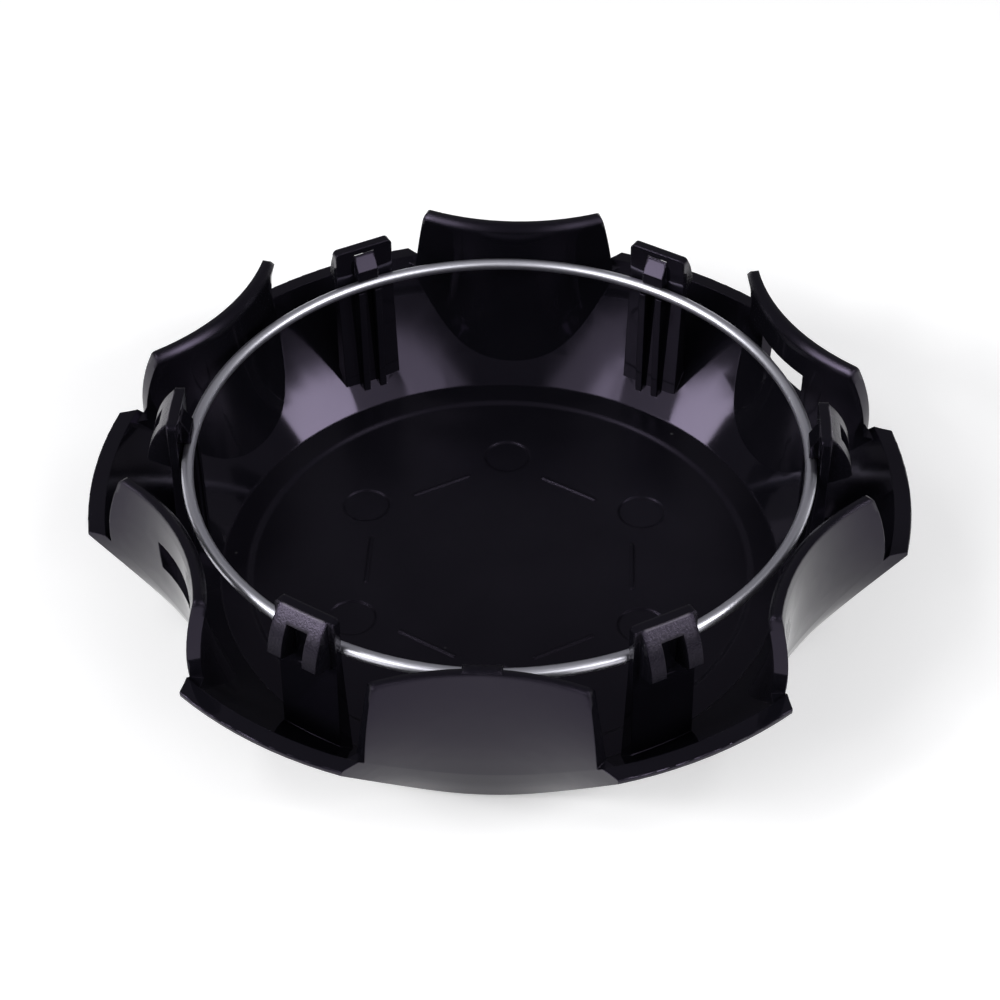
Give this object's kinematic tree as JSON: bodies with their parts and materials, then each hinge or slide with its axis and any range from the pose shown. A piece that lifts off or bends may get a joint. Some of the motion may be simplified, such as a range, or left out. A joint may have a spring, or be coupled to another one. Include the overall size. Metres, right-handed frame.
{
  "type": "wheel centre cap",
  "caption": "Lobed snap-in centre cap for a road wheel, lying face down, with concave lug scallops, barbed clips round its hollow back and a spring-wire ring held in the clips.",
  "frame": {"origin": "on the wheel's axis, in the plane of the cap's flat front face, which is down", "axes": "+Z along the wheel's axis from the front face to the hollow back; +X through the middle of one lobe and its clip; +Y through the middle of a lug scallop"},
  "size_m": [0.1386, 0.1324, 0.0364],
  "materials": {
    "black_plastic": "gloss black outside, smooth semi-gloss black inside",
    "spring_wire": "bright drawn spring steel"
  },
  "bodies": {
    "root": {"cap_body": "black_plastic", "retaining_ring": "spring_wire"}
  },
  "joints": []
}
